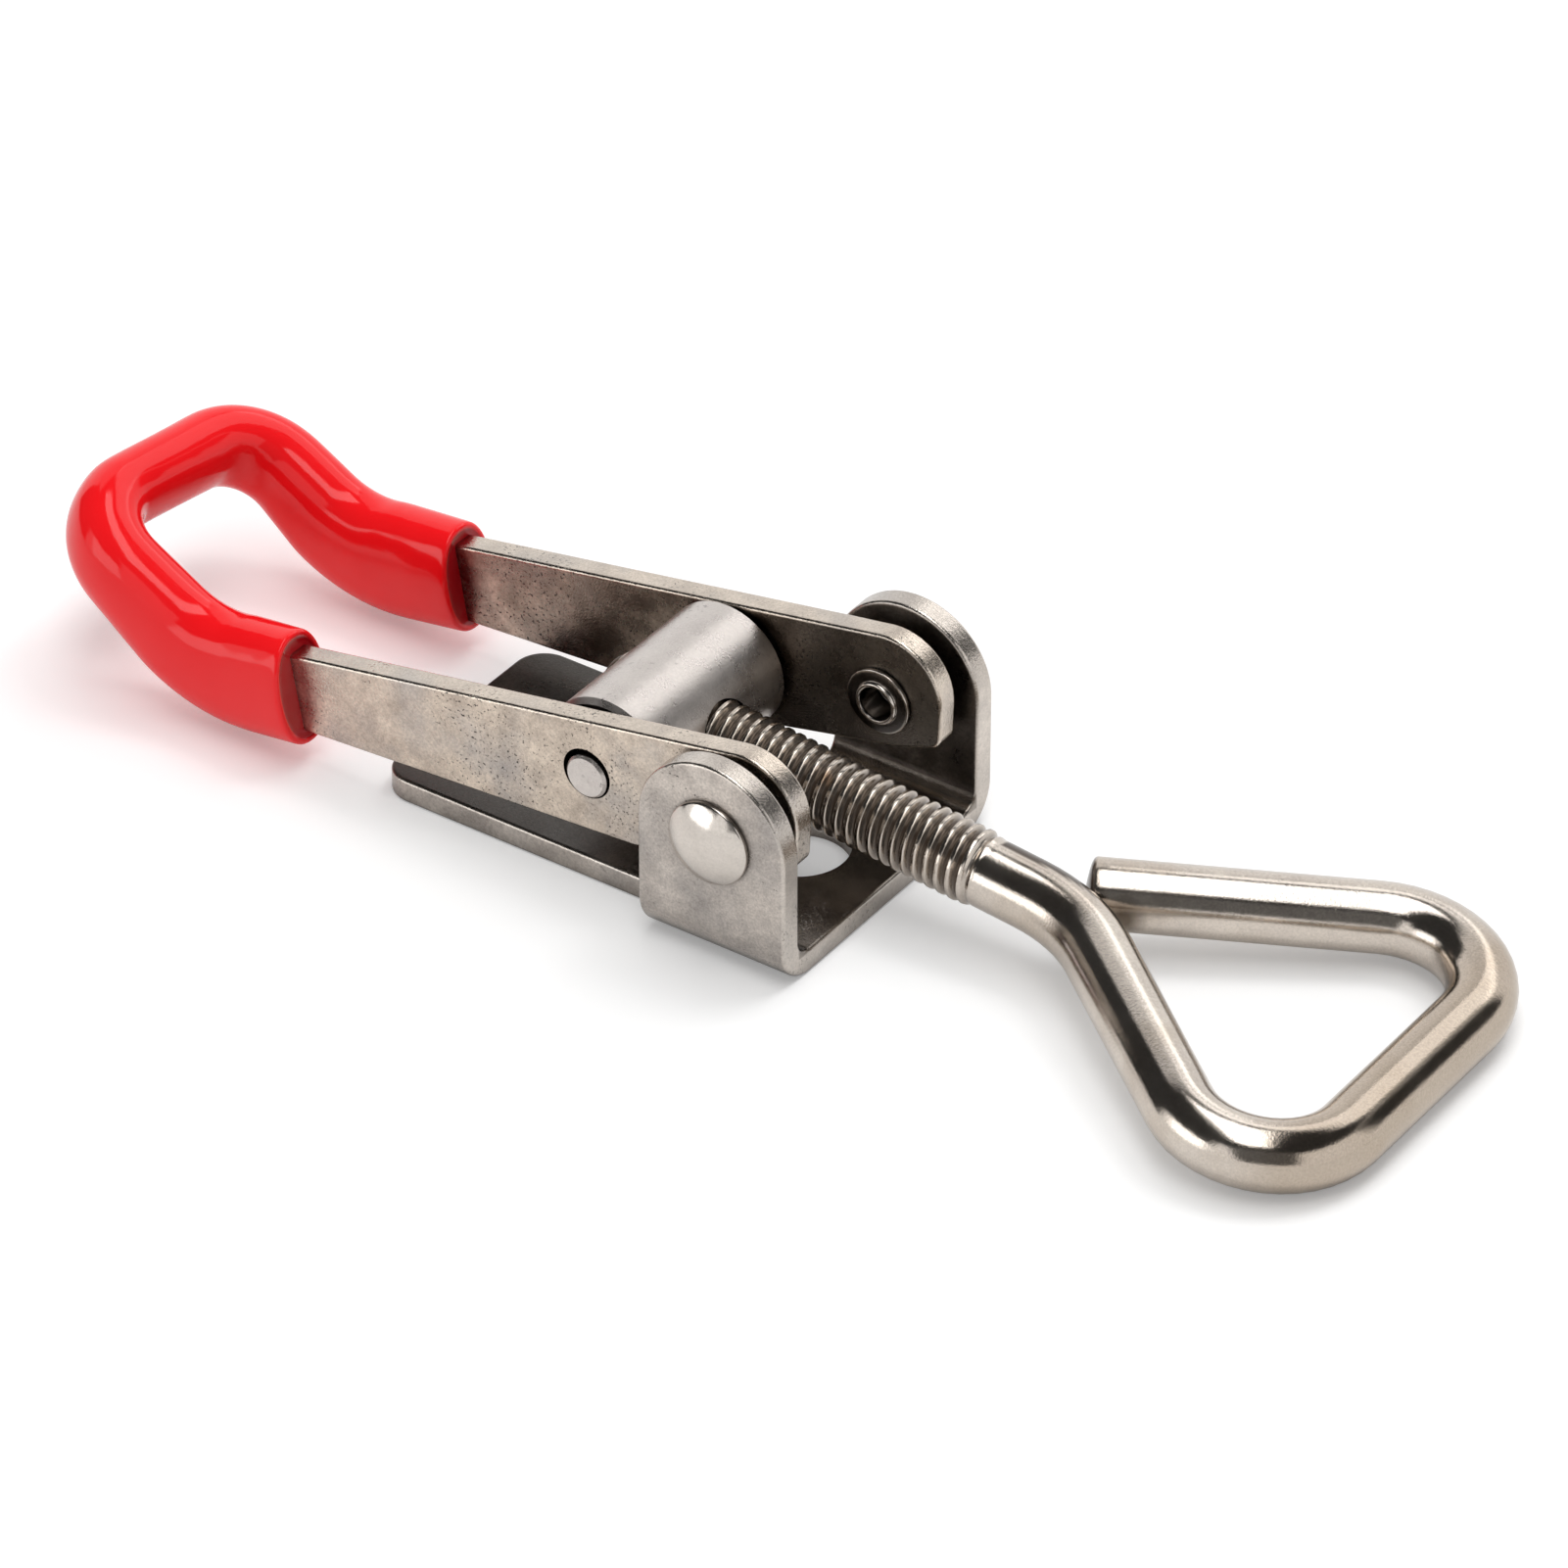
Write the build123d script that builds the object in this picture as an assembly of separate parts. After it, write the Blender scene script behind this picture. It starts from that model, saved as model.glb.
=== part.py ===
from build123d import *
import os
from math import atan2, cos, radians, sin, tan

# Over centre toggle latch: a folded steel base, a folded lever in a plastic sleeve, a barrel nut
# that turns in the lever, and an eye bolt that screws through the barrel and ends in a wire loop.
# Millimetres. +X points from the lever to the loop, +Z up from the mounting face.
# The origin lies midway between the two fixing holes, on the mounting face.
# The latch is drawn closed, with its loop lying on the surface that carries the base.

# ---- base bracket ----
sheet = 2.0                 # stock of the bracket and of the lever
bracket_width = 27.2        # over the outside of the ears
ear_length = 13.0           # along X
pivot_height = 11.0         # lever pivot above the mounting face
bend_inside = 1.5           # inside radius of the ear folds
tail_length = 26.5          # flat tail behind the ears
tail_corner = 2.6           # plan radius of the tail's two corners
relief_radius = 0.6         # plan radius where the tail meets the ears
hole_pitch = 22.0           # between the two fixing holes
hole_diameter = 8.0
pivot_ahead = 1.6           # the pivot stands this far ahead of the front hole
stamped_edge = 0.3          # rounding of stamped edges

# ---- lever ----
ear_gap = 1.3               # air between an ear and the lever arm inside it
nose_radius = 4.8           # front end of each arm
nose_ahead = 0.6            # nose centre from the pivot
nose_above = 1.0
toe_ahead = 4.1             # small corner below the nose
toe_below = 1.55
toe_radius = 1.2
belly_behind = 9.5          # lowest corner of the arm, behind the pivot
belly_height = 4.85         # its underside above the mounting face
belly_radius = 1.5
heel_behind = 49.0          # where the arm turns up towards the crossbar
heel_height = 5.1
heel_depth = 5.6            # depth of the strip there
crossbar_behind = 61.45     # middle of the crossbar behind the pivot
crossbar_height = 12.1
crossbar_skew = 1.0         # its -Y end stands this much further back than its +Y end
crossbar_depth = 4.6
crossbar_bend = 5.4         # centre line radius of the two folds

# ---- plastic sleeve ----
near_mouth = 40.5           # ends of the sleeve behind the pivot, -Y side
far_mouth = 39.5            # +Y side
mouth_height = 6.2          # centre of each end above the mounting face
mouth_shift = 0.35          # each end stands off its arm towards -Y
mouth_wide, mouth_tall = 6.0, 9.6
turn_wide, turn_tall = 6.3, 9.4
climb_wide, climb_tall = 5.9, 8.0
fold_wide, fold_tall = 5.6, 6.6
bar_wide, bar_tall = 5.3, 6.0
bar_sag = 0.2               # the sleeve's middle hangs this far off the crossbar's centre
heel_sweep = 9.0            # centre line radius of the turn at the heel
floor_gap = 0.1             # under the heel, when the latch is closed
mouth_wall = 1.1
mouth_depth = 3.5           # the sleeve stands off the arm over this length
mouth_lip = 0.5             # rounding of the end
cavity_gap = 0.5            # air round the arm at the bottom of the loose length

# ---- pivot rivets ----
rivet_shank = 4.0
rivet_head = 6.9
head_height = 1.5
head_rim = 0.35             # straight rim under the dome
flare_diameter = 5.2        # rolled tail of the rivet
flare_height = 0.75         # over the rolled lip round its bore
flange_rim = 0.2            # height of the flange at its edge
flange_rise = 0.4           # and where it meets the lip
flare_lip = 0.35            # width of the lip
flare_bore = 2.9
bore_depth = 2.6
running = 0.05              # radial clearance of every turning or sliding fit
float_gap = 0.1             # end clearance between arm and rivet tail

# ---- barrel nut ----
barrel_diameter = 10.4
barrel_behind = 13.4        # barrel axis behind the pivot
barrel_height = 9.45        # barrel axis above the mounting face
barrel_end_gap = 0.3        # between the barrel and each arm
barrel_chamfer = 0.4
journal_diameter = 3.6
journal_proud = 0.2         # journal end beyond the arm
journal_slack = 0.25        # the journal lies this far below the centre of its hole

# ---- eye bolt ----
wire_diameter = 5.4
thread_diameter = 5.9       # rolled M6 thread over its crests
thread_pitch = 1.0
thread_depth = 0.53
thread_flat = 0.16          # width of each crest and each root
thread_tail = 5.0           # behind the barrel axis
thread_length = 29.2        # ahead of the barrel axis
loop_reach = 50.9           # middle of the loop's far side, ahead of the pivot
fork = 36.8                 # corner of the centre line where the wire leaves the shank
near_corner = 20.8          # loop corner from the middle plane, -Y side
far_corner = 22.0           # +Y side
fork_bend = 13.0            # centre line radii
near_bend = 6.8
far_bend = 7.5
cut_end = 36.0              # the wire's cut end, along the shank from the barrel
cut_end_beside = 4.3        # beside the shank's axis
cut_end_below = 1.0         # below the shank's axis

# ---- what follows from these sizes ----
pivot_x = hole_pitch / 2 + pivot_ahead
ear_back = pivot_x - ear_length / 2
ear_half = bracket_width / 2
ear_inside = ear_half - sheet
fold_start = ear_inside - bend_inside
arm_outside = ear_inside - ear_gap
arm_inside = arm_outside - sheet
arm_middle = arm_outside - sheet / 2
barrel_x = pivot_x - barrel_behind
barrel_half = arm_inside - barrel_end_gap
journal_hole = journal_diameter / 2 + journal_slack + running
bar_x = pivot_x + loop_reach
bar_z = wire_diameter / 2
thread_hole = thread_diameter / 2 + running
shank_tilt = atan2(barrel_height - bar_z, bar_x - barrel_x)
shank_length = (bar_x - barrel_x) / cos(shank_tilt)

heel = Vector(pivot_x - heel_behind, 0, heel_height)
crossbar = Vector(pivot_x - crossbar_behind, 0, crossbar_height)
rise = (crossbar - heel).normalized()
rise_up = rise.cross(Vector(0, -1, 0))


def slab(outline, low_y, high_y):
    """A side outline, drawn in X and Z, made solid between two Y planes."""
    return extrude(Plane.XZ.offset(-high_y) * outline, amount=high_y - low_y)


def round_rim(plate, radius, side):
    """Round a stamped plate's two rims, starting at its arcs of this radius on one side in Y.

    Each rim is smooth all the way round, so one arc of it is enough to find the rest.
    """
    arcs = plate.edges().filter_by(GeomType.CIRCLE)
    arcs = [arc for arc in arcs if abs(arc.radius - radius) < 0.001 and arc.center().Y * side > 0]
    return fillet(arcs, stamped_edge)


# ---- base bracket ----
def bracket_section():
    """The folded channel across the ears, drawn in Y and Z."""
    tall = 4 * pivot_height
    outer = Pos(0, tall / 2) * Rectangle(bracket_width, tall)
    outer = fillet(outer.vertices().group_by(Axis.Y)[0], bend_inside + sheet)
    inner = Pos(0, sheet + tall / 2) * Rectangle(2 * ear_inside, tall)
    inner = fillet(inner.vertices().group_by(Axis.Y)[0], bend_inside)
    return outer - inner


def bracket_plan():
    """The bracket seen from above: wide at the ears, narrower along the tail."""
    plan = Pos(pivot_x, 0) * Rectangle(ear_length, bracket_width)
    plan += Pos(ear_back - tail_length / 2, 0) * Rectangle(tail_length, 2 * fold_start)
    corners = plan.vertices().group_by(Axis.X)
    plan = fillet(corners[0], tail_corner)
    inner = [v for v in plan.vertices() if abs(v.X - ear_back) < 0.01 and abs(v.Y) < ear_half]
    return fillet(inner, relief_radius)


def bracket_side():
    """The bracket seen from the side: a round ear above the plate."""
    ear = Pos(pivot_x, pivot_height / 2) * Rectangle(ear_length, pivot_height)
    ear += Pos(pivot_x, pivot_height) * Circle(ear_length / 2)
    tail_height = 1.5 * sheet
    tail = Pos(ear_back - tail_length / 2, tail_height / 2) * Rectangle(tail_length, tail_height)
    return ear + tail


def make_bracket():
    """One folded plate: flat tail, two ears rounded about the pivot, two fixing holes."""
    length = ear_length + tail_length
    channel = extrude(Plane.YZ.offset(ear_back - tail_length) * bracket_section(), amount=length)
    bracket = channel & extrude(bracket_plan(), amount=3 * pivot_height)
    bracket &= slab(bracket_side(), -ear_half, ear_half)
    bracket = round_rim(bracket, ear_length / 2, -1)
    for hole_x in (-hole_pitch / 2, hole_pitch / 2):
        bracket -= Pos(hole_x, 0, sheet / 2) * Cylinder(hole_diameter / 2, 2 * sheet)
    pivot_hole = Pos(pivot_x, pivot_height) * Circle(rivet_shank / 2)
    return bracket - slab(pivot_hole, -ear_half - sheet, ear_half + sheet)


# ---- lever ----
def fold_start_on(side):
    """Where one arm's centre line enters the crossbar fold: side is -1 for -Y, 1 for +Y."""
    setback = crossbar_bend + side * crossbar_skew / 2
    return crossbar - rise * setback + Vector(0, side * arm_middle, 0)


def arm_front():
    """One arm's outline from the nose to the heel, drawn in X and Z."""
    nose = Pos(pivot_x + nose_ahead, pivot_height + nose_above) * Circle(nose_radius)
    toe = Pos(pivot_x + toe_ahead, pivot_height - toe_below) * Circle(toe_radius)
    belly = Pos(pivot_x - belly_behind, belly_height + belly_radius) * Circle(belly_radius)
    heel_round = Pos(heel.X, heel.Z) * Circle(heel_depth / 2)
    return make_hull([*nose.edges(), *toe.edges(), *belly.edges(), *heel_round.edges()])


def arm_rise(fold):
    """One arm's outline from the heel up to where the crossbar fold begins."""
    heel_round = Pos(heel.X, heel.Z) * Circle(heel_depth / 2)
    upper = fold + rise_up * (crossbar_depth / 2)
    lower = fold - rise_up * (crossbar_depth / 2)
    fold_line = Edge.make_line((upper.X, upper.Z), (lower.X, lower.Z))
    return make_hull([*heel_round.edges(), fold_line])


def lever_half(side):
    """One arm with its fold and its half of the crossbar."""
    fold = fold_start_on(side)
    inward = Vector(0, -side, 0)
    low_y, high_y = sorted([side * arm_outside, side * arm_inside])
    pivot_hole = Pos(pivot_x, pivot_height) * Circle(rivet_shank / 2 + running)
    barrel_hole = Pos(barrel_x, barrel_height + journal_slack) * Circle(journal_hole)
    arm = round_rim(slab(arm_front(), low_y, high_y), nose_radius, side)
    arm -= slab(pivot_hole + barrel_hole, low_y - sheet, high_y + sheet)
    arm += slab(arm_rise(fold), low_y, high_y)
    strip = RectangleRounded(sheet, crossbar_depth, stamped_edge)
    fold_in = Plane(origin=fold, x_dir=inward, z_dir=rise) * strip
    centre = fold + inward * crossbar_bend
    corner = revolve(fold_in, Axis(centre, rise_up), 90 * side)
    fold_out = Plane(origin=centre + rise * crossbar_bend, x_dir=-rise, z_dir=inward) * strip
    middle = Plane(origin=crossbar, x_dir=-rise, z_dir=inward) * strip
    return arm + corner + loft([fold_out, middle])


def make_lever():
    """Two flat arms and the crossbar that joins them: one folded strip."""
    return lever_half(-1) + lever_half(1)


# ---- plastic sleeve ----
def flattened(plane, wide, tall):
    """The sleeve's section: two flats with round ends."""
    return plane * SlotOverall(tall, wide, rotation=90)


def sleeve_half(side, mouth_behind):
    """Half of the sleeve, before the lever is taken out of it: side is -1 for -Y, 1 for +Y."""
    inward = Vector(0, -side, 0)
    mouth = Vector(pivot_x - mouth_behind, side * arm_middle, mouth_height)
    corner = Vector(heel.X, side * arm_middle, turn_tall / 2 + floor_gap)
    along = (corner - mouth).normalized()
    halfway = (along + rise).normalized()
    setback = heel_sweep * tan(radians(along.get_angle(rise) / 2))
    across = Vector(0, 1, 0)
    turn_centre = corner - along * setback + across.cross(along) * heel_sweep

    mouth_in = Plane(origin=mouth - across * mouth_shift, x_dir=inward, z_dir=along)
    turn_in = Plane(origin=corner - along * setback, x_dir=inward, z_dir=along)
    turn_mid = Plane(turn_centre - across.cross(halfway) * heel_sweep, x_dir=inward, z_dir=halfway)
    turn_out = Plane(origin=corner + rise * setback, x_dir=inward, z_dir=rise)
    fold_in = Plane(origin=fold_start_on(side), x_dir=inward, z_dir=rise)
    arm_part = loft([
        flattened(mouth_in, mouth_wide, mouth_tall),
        flattened(turn_in, turn_wide, turn_tall),
        flattened(turn_mid, (turn_wide + climb_wide) / 2, (turn_tall + climb_tall) / 2),
        flattened(turn_out, climb_wide, climb_tall),
        flattened(fold_in, fold_wide, fold_tall),
    ])
    arm_part = fillet(arm_part.faces().sort_by(Axis.X)[-1].edges(), mouth_lip)

    centre = fold_in.origin + inward * crossbar_bend
    fold = revolve(flattened(fold_in, fold_wide, fold_tall), Axis(centre, rise_up), 90 * side)
    fold_out = Plane(origin=centre + rise * crossbar_bend, x_dir=-rise, z_dir=inward)
    middle = Plane(origin=crossbar - rise_up * bar_sag, x_dir=-rise, z_dir=inward)
    bar = loft([flattened(fold_out, fold_wide, fold_tall), flattened(middle, bar_wide, bar_tall)])

    bottom = Plane(origin=mouth + along * mouth_depth, x_dir=inward, z_dir=along)
    cavity = loft([
        flattened(mouth_in, mouth_wide - 2 * mouth_wall, mouth_tall - 2 * mouth_wall),
        flattened(bottom, sheet + 2 * cavity_gap, heel_depth + 4 * cavity_gap),
    ])
    return arm_part + fold + bar - cavity


def make_sleeve(lever):
    """A thick tube pulled over the lever, open and loose at its two ends."""
    return sleeve_half(-1, near_mouth) + sleeve_half(1, far_mouth) - lever


# ---- pivot rivets ----
def make_rivet():
    """Near rivet: domed head outside the ear, hollow tail rolled over inside the lever arm."""
    head = rivet_head / 2
    shank = rivet_shank / 2
    flare = flare_diameter / 2
    bore = flare_bore / 2
    lip = bore + flare_lip
    tail = ear_half - arm_inside + float_gap
    shoulder = tail + flange_rise
    end = tail + flare_height
    profile = make_face(Curve() + [
        TangentArc((0, head_height), (head, head_rim), tangent=(1, 0)),
        Polyline((head, head_rim), (head, 0), (shank, 0), (shank, -tail), (flare, -tail),
                 (flare, -tail - flange_rim), (lip, -shoulder)),
        ThreePointArc((lip, -shoulder), (bore + flare_lip / 2, -end), (bore, -shoulder)),
        Polyline((bore, -shoulder), (bore, bore_depth - end), (0, bore_depth - end), (0, head_height)),
    ])
    outward = Plane(origin=(pivot_x, -ear_half, pivot_height), x_dir=(1, 0, 0), z_dir=(0, 0, -1))
    return revolve(outward * profile, Axis(outward.origin, (0, 1, 0)), 360)


# ---- barrel nut ----
def make_barrel():
    """A turned bar with a journal at each end and the eye bolt's hole across it."""
    drum = Cylinder(barrel_diameter / 2, 2 * barrel_half)
    drum = chamfer(drum.edges().filter_by(GeomType.CIRCLE), barrel_chamfer)
    journals = Cylinder(journal_diameter / 2, 2 * (arm_outside + journal_proud))
    journals = chamfer(journals.edges().filter_by(GeomType.CIRCLE), barrel_chamfer / 2)
    barrel = Pos(barrel_x, 0, barrel_height) * Rot(90, 0, 0) * (drum + journals)
    return barrel - extrude(shank_plane() * Circle(thread_hole), amount=barrel_diameter, both=True)


# ---- eye bolt ----
def shank_plane():
    """Across the shank at the barrel's axis: its normal points down the shank to the loop."""
    down_shank = (cos(shank_tilt), 0, -sin(shank_tilt))
    return Plane(origin=(barrel_x, 0, barrel_height), x_dir=(0, 1, 0), z_dir=down_shank)


def loop_point(along, beside, below=0.0):
    """A point from its distance down the shank, towards +Y and under the shank."""
    plane = shank_plane()
    down = plane.y_dir if plane.y_dir.Z < 0 else -plane.y_dir
    return plane.origin + plane.z_dir * along + Vector(0, beside, 0) + down * below


def thread_groove():
    """The helical groove between the thread's crests, along Z from the barrel's axis.

    It starts one turn behind the wire's end and runs out where the plain wire begins.
    """
    helix = Helix(thread_pitch, thread_tail + thread_length + thread_pitch / 2, thread_diameter / 2)
    helix = Pos(0, 0, -thread_tail - thread_pitch) * helix
    root = thread_flat / 2
    above = thread_depth / 5
    slope = (thread_pitch / 2 - thread_flat) / thread_depth
    mouth = root + slope * (thread_depth + above)
    section = Polygon(
        (above, -mouth), (above, mouth), (-thread_depth, root), (-thread_depth, -root), align=None
    )
    start = Plane(origin=helix @ 0, x_dir=(1, 0, 0), z_dir=helix % 0)
    return sweep(start * section, path=helix, is_frenet=True)


def make_eye_bolt():
    """One wire: threaded shank, three sided loop, cut end lying beside the shank."""
    route = FilletPolyline(
        loop_point(-thread_tail, 0),
        loop_point(fork, 0),
        loop_point(shank_length, -near_corner),
        loop_point(shank_length, far_corner),
        loop_point(cut_end, cut_end_beside, cut_end_below),
        radius=[fork_bend, near_bend, far_bend],
    )
    start = Plane(origin=route @ 0, z_dir=route % 0)
    wire = sweep(start * Circle(wire_diameter / 2), path=route)
    length = thread_tail + thread_length
    thread = Pos(0, 0, length / 2 - thread_tail) * Cylinder(thread_diameter / 2, length)
    thread = chamfer(thread.edges().filter_by(GeomType.CIRCLE), (thread_diameter - wire_diameter) / 2)
    return wire + shank_plane() * thread - shank_plane() * thread_groove()


lever = make_lever()
near_rivet = make_rivet()
parts = {
    "base_bracket": make_bracket(),
    "lever": lever,
    "grip_sleeve": make_sleeve(lever),
    "pivot_rivet_near": near_rivet,
    "pivot_rivet_far": mirror(near_rivet, about=Plane.XZ),
    "barrel_nut": make_barrel(),
    "eye_bolt": make_eye_bolt(),
}
os.makedirs("parts", exist_ok=True)
for name, solid in parts.items():
    solid.label = name
    export_step(solid, f"parts/{name}.step")
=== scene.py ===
# %% [markdown]
# # Over centre toggle latch
# A toggle latch pulls a lid shut. Its lever swings a barrel past the lever's own pivot, so the
# pull of the eye bolt then holds the lever down instead of lifting it. The solid model already
# has every piece at its real size. Here the pieces get the look of the real metal and vinyl. Those
# whose look lies in rolled, pressed or dipped forms, the wire, the rivets and the sleeve, are made
# again.

# %% Load the solid model
from math import acos, cos, degrees, hypot, pi, radians, sin, tan

import bmesh
import bpy
from mathutils import Matrix, Vector


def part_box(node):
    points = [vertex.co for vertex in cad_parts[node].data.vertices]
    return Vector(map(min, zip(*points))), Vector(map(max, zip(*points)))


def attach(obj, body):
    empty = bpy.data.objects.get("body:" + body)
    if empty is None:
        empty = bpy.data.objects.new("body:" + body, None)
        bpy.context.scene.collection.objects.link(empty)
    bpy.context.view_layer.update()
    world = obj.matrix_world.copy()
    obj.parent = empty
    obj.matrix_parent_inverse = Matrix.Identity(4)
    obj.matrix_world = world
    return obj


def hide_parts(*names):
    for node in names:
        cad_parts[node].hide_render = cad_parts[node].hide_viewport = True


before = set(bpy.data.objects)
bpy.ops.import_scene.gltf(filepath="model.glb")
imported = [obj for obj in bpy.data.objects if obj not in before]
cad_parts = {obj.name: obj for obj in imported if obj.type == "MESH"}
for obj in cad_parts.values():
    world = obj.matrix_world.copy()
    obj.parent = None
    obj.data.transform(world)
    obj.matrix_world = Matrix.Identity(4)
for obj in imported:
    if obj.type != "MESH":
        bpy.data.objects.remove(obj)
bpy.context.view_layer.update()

# %% [markdown]
# ## The camera
# The latch lies on a table and is seen from its loop end, from about 35 degrees above. A long
# lens keeps the lever's two arms almost parallel, as a product picture does, so the camera
# stands well back, and its place, turn and lens belong together.

# %% Camera
camera_place = Vector((0.31942, -0.44531, 0.39349))
camera_turn = (radians(54.53), 0.0, radians(34.82))
camera_data = bpy.data.cameras.new("camera")
camera_data.sensor_width = 36.0
camera_data.lens = 207.09
camera_data.clip_start = 0.01
camera = bpy.data.objects.new("camera", camera_data)
camera.location = camera_place
camera.rotation_euler = camera_turn
bpy.context.collection.objects.link(camera)
bpy.context.scene.camera = camera
bpy.context.scene.view_settings.view_transform = "Standard"
print("camera", round(1000 * camera_place.length), "mm from the origin")

# %% [markdown]
# ## Shader nodes by name
# Every finish below is a small tree of shader nodes. The editor makes them by hand. In a script
# two helpers keep a tree readable: one adds a node and fills its sockets, one joins two sockets.

# %% Helpers for shader trees
def add(tree, kind, name="", **sockets):
    """Add a shader node. Sockets are given by name, with _ for a space."""
    node = tree.nodes.new("ShaderNode" + kind)
    node.label = name
    for socket, value in sockets.items():
        node.inputs[socket.replace("_", " ")].default_value = value
    return node


def join(tree, source, output, target, name):
    """Lead one output into one input; both are given by name or by number."""
    tree.links.new(source.outputs[output], target.inputs[name])


def ramp(tree, source, output, low, high, to_low=0.0, to_high=1.0):
    """Stretch a value from low..high to to_low..to_high, held at both ends."""
    node = add(tree, "MapRange", From_Min=low, From_Max=high, To_Min=to_low, To_Max=to_high)
    join(tree, source, output, node, "Value")
    return node


def combine(tree, how, first, second):
    """Do sums with two values. Each is a (node, output) pair or a number."""
    node = add(tree, "Math", how.lower())
    node.operation = how
    for slot, value in enumerate((first, second)):
        if isinstance(value, tuple):
            join(tree, *value, node, slot)
        else:
            node.inputs[slot].default_value = value
    return node


MIXED = 2  # the colour output of a Mix node
FIRST, SECOND = 6, 7  # its two colour inputs


def blend(tree, amount, first, second, how="MIX"):
    """Mix two colours. Each is a (node, output) pair or a colour, and amount may be a number."""
    node = add(tree, "Mix")
    node.data_type = "RGBA"
    node.blend_type = how
    for name, value in (("Factor", amount), (FIRST, first), (SECOND, second)):
        if isinstance(value, tuple) and isinstance(value[0], bpy.types.Node):
            join(tree, *value, node, name)
        elif name == "Factor":
            node.inputs[0].default_value = value
        else:
            node.inputs[name].default_value = (*value, 1.0)
    return node


print("shader helpers ready")

# %% [markdown]
# ## A white table and studio light
# The floor is plain and pale. Its own colour is left at a plain level, and a little light of its
# own, seen only by the camera and in the metal, lifts it to white without lighting the latch.
# Because the rest of its brightness is real light, the latch's shadow stays on it.

# %% Floor
def stage_piece(name, bm, material):
    """Turn a bmesh into an object that belongs to the studio, not to the latch."""
    mesh = bpy.data.meshes.new(name)
    bm.to_mesh(mesh)
    bm.free()
    mesh.materials.append(material)
    piece = bpy.data.objects.new(name, mesh)
    bpy.context.collection.objects.link(piece)
    return piece


def seen_directly(tree, in_metal=1.0):
    """1 for rays from the camera and through glass, in_metal for glossy ones, 0 for light."""
    path = add(tree, "LightPath")
    glossy = combine(tree, "MULTIPLY", (path, "Is Glossy Ray"), in_metal)
    seen = combine(tree, "MAXIMUM", (path, "Is Camera Ray"), (glossy, 0))
    return combine(tree, "MAXIMUM", (seen, 0), (path, "Is Transmission Ray"))


floor_size = 1.6
floor_colour = (0.86, 0.86, 0.86, 1.0)
floor_lift = 0.22
floor_material = bpy.data.materials.new("white_table")
floor_material.use_nodes = True
floor_tree = floor_material.node_tree
floor_shader = floor_tree.nodes["Principled BSDF"]
floor_shader.inputs["Base Color"].default_value = floor_colour
floor_shader.inputs["Roughness"].default_value = 0.9
floor_shader.inputs["Specular IOR Level"].default_value = 0.1
floor_shader.inputs["Emission Color"].default_value = (1.0, 1.0, 1.0, 1.0)
lift = combine(floor_tree, "MULTIPLY", (seen_directly(floor_tree, 0.35), 0), floor_lift)
join(floor_tree, lift, 0, floor_shader, "Emission Strength")
floor_mesh = bmesh.new()
bmesh.ops.create_grid(floor_mesh, x_segments=1, y_segments=1, size=floor_size)
stage_piece("white_table", floor_mesh, floor_material)
print("floor", 2 * floor_size, "m wide")

# %% [markdown]
# Bright metal has no look of its own: it shows the room. So the room is planned. The world is
# white to the camera and to the metal, and gives the rest of the scene a dimmer, even light.
# Softboxes make the highlights. Black cards, which only the metal sees, make the dark bands
# that tell the eye that a wire is round.

# %% World
world_light = 0.40
world = bpy.data.worlds.new("studio")
bpy.context.scene.world = world
world.use_nodes = True
world_tree = world.node_tree
world_output = world_tree.nodes["World Output"]
even_light = world_tree.nodes["Background"]
even_light.inputs["Color"].default_value = (1.0, 1.0, 1.0, 1.0)
even_light.inputs["Strength"].default_value = world_light
white_room = add(world_tree, "Background", Color=(1.0, 1.0, 1.0, 1.0), Strength=1.0)
room = add(world_tree, "MixShader")
join(world_tree, seen_directly(world_tree), 0, room, 0)
join(world_tree, even_light, 0, room, 1)
join(world_tree, white_room, 0, room, 2)
join(world_tree, room, 0, world_output, "Surface")
print("world light", world_light)

# %% Softboxes
def towards(azimuth, elevation):
    """Unit vector; azimuth turns from +X towards +Y, in degrees."""
    flat = cos(radians(elevation))
    return Vector((flat * cos(radians(azimuth)), flat * sin(radians(azimuth)),
                   sin(radians(elevation))))


def softbox(name, azimuth, elevation, distance, width, height, brightness):
    """A rectangular lamp that faces the latch. Brightness 1 looks as bright as white paper."""
    data = bpy.data.lights.new(name, "AREA")
    data.shape = "RECTANGLE"
    data.size, data.size_y = width, height
    data.energy = brightness * pi * width * height
    lamp = bpy.data.objects.new(name, data)
    direction = towards(azimuth, elevation)
    lamp.location = direction * distance
    lamp.rotation_euler = direction.to_track_quat("Z", "Y").to_matrix().to_euler()
    bpy.context.collection.objects.link(lamp)
    return lamp


# name, azimuth, elevation, distance, width, height, brightness
softbox("overhead_box", -60, 86, 0.9, 0.34, 1.0, 3.4)
softbox("key_box", 86, 45, 1.0, 0.62, 0.46, 1.45)
key_fill = softbox("key_fill", 62, 66, 1.0, 0.30, 0.30, 6.5)
key_fill.visible_glossy = False
softbox("front_left_box", -122, 14, 1.0, 0.62, 0.42, 1.4)
print("softboxes:", [lamp.name for lamp in bpy.data.lights])

# %% Cards
def card_finish(name, brightness):
    """Black card that glows: at 0.02 it still looks black, at 0.85 it looks like white paper."""
    material = bpy.data.materials.new(name)
    material.use_nodes = True
    shader = material.node_tree.nodes["Principled BSDF"]
    shader.inputs["Base Color"].default_value = (0.02, 0.02, 0.02, 1.0)
    shader.inputs["Roughness"].default_value = 1.0
    shader.inputs["Emission Color"].default_value = (1.0, 1.0, 1.0, 1.0)
    shader.inputs["Emission Strength"].default_value = brightness
    return material


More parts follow.
